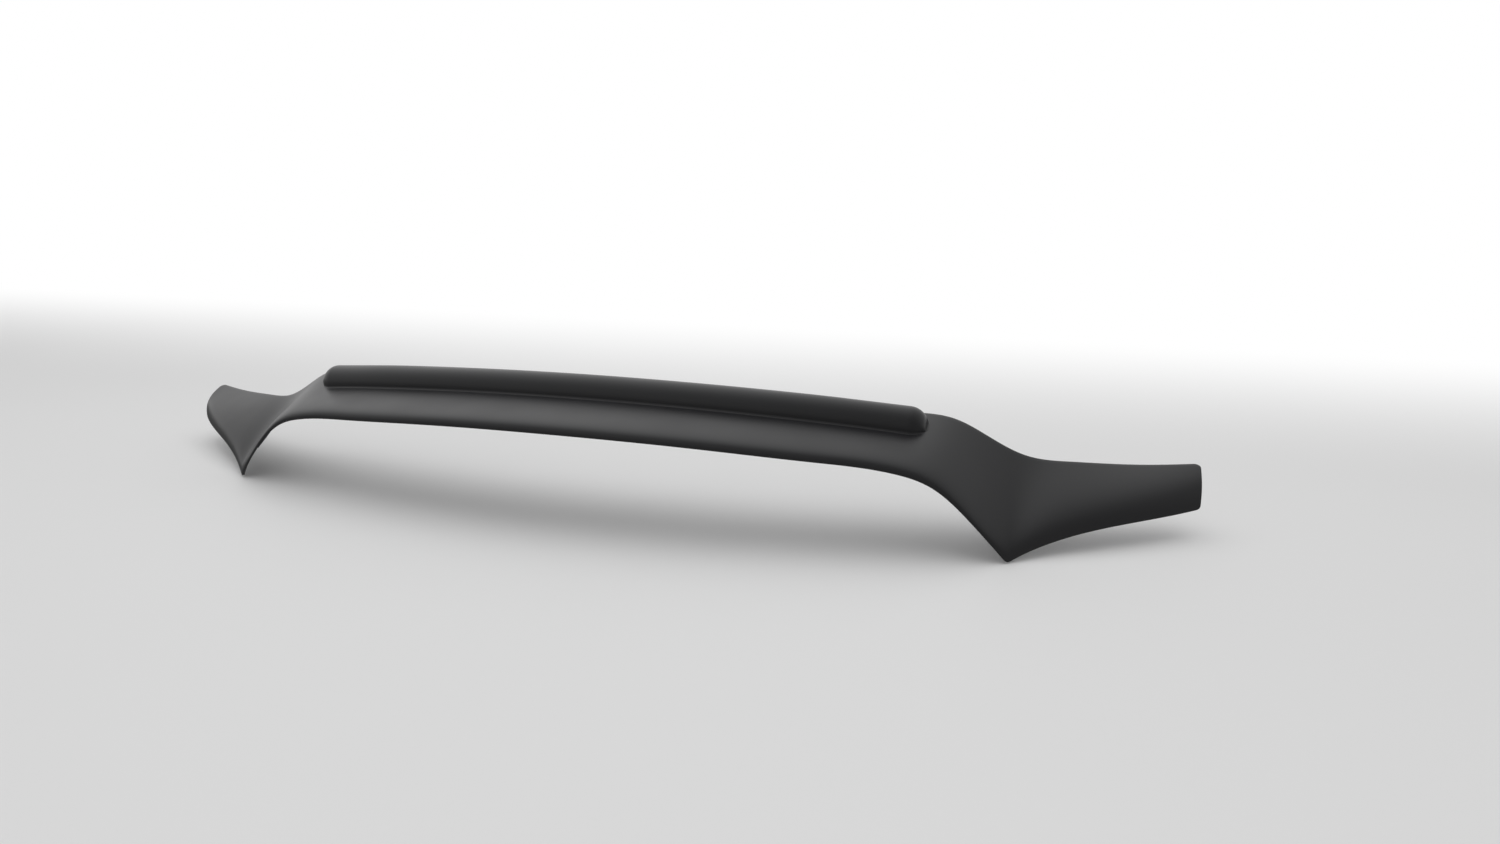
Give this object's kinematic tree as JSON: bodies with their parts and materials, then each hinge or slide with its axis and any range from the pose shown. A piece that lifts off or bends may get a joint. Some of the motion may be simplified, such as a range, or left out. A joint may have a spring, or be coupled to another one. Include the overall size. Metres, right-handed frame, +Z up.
{
  "type": "hood bug deflector",
  "caption": "Formed dark acrylic deflector that wraps a hood's front edge, with a raised hollow air lip and foam tape behind",
  "frame": {"origin": "middle of the front lower edge of the outer face, where it lines up with the front edge of the hood", "axes": "+X across the vehicle towards its left side (the right-hand side of the picture), -Y faces forward, +Z up"},
  "size_m": [1.46, 0.2529, 0.1723],
  "materials": {
    "dark_acrylic": null,
    "foam_tape": "grey black acrylic foam tape",
    "clear_rubber": "translucent grey soft rubber"
  },
  "bodies": {
    "root": {"deflector_shell": "dark_acrylic", "rear_tape_centre": "foam_tape", "rear_tape_left": "foam_tape", "rear_tape_right": "foam_tape", "lower_tape_centre": "foam_tape", "side_tape_left": "foam_tape", "side_tape_right": "foam_tape", "wing_tape_left": "foam_tape", "wing_tape_right": "foam_tape", "bump_pads": "clear_rubber"}
  },
  "joints": []
}
